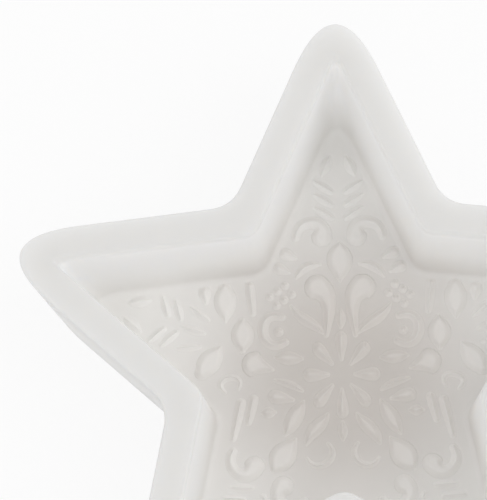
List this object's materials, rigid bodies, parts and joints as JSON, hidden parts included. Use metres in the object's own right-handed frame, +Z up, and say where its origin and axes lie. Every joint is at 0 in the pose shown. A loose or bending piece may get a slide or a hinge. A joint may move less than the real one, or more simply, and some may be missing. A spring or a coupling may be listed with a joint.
{
  "type": "tealight holder",
  "caption": "Star-shaped soft tray with a wide flat rim, leaning walls and a flat floor with a raised mandala, on which a tealight stands.",
  "frame": {"origin": "centre of the star on the underside of the tray", "axes": "+Z up, +Y towards the star's top point, +X to the right of it"},
  "size_m": [0.1386, 0.1324, 0.032],
  "materials": {
    "tray_silicone": "milky translucent satin",
    "relief_silicone": "milky translucent satin"
  },
  "bodies": {
    "root": {"star_tray": "tray_silicone", "centre_drops": "relief_silicone", "fork_beans": "relief_silicone", "fork_leaves": "relief_silicone", "oval_buds": "relief_silicone", "bean_arcs": "relief_silicone", "hook_curls": "relief_silicone", "side_bars": "relief_silicone", "seed_beads": "relief_silicone", "wall_drops": "relief_silicone", "arm_scrolls": "relief_silicone", "arm_sprays": "relief_silicone", "tip_leaves": "relief_silicone"}
  },
  "joints": []
}
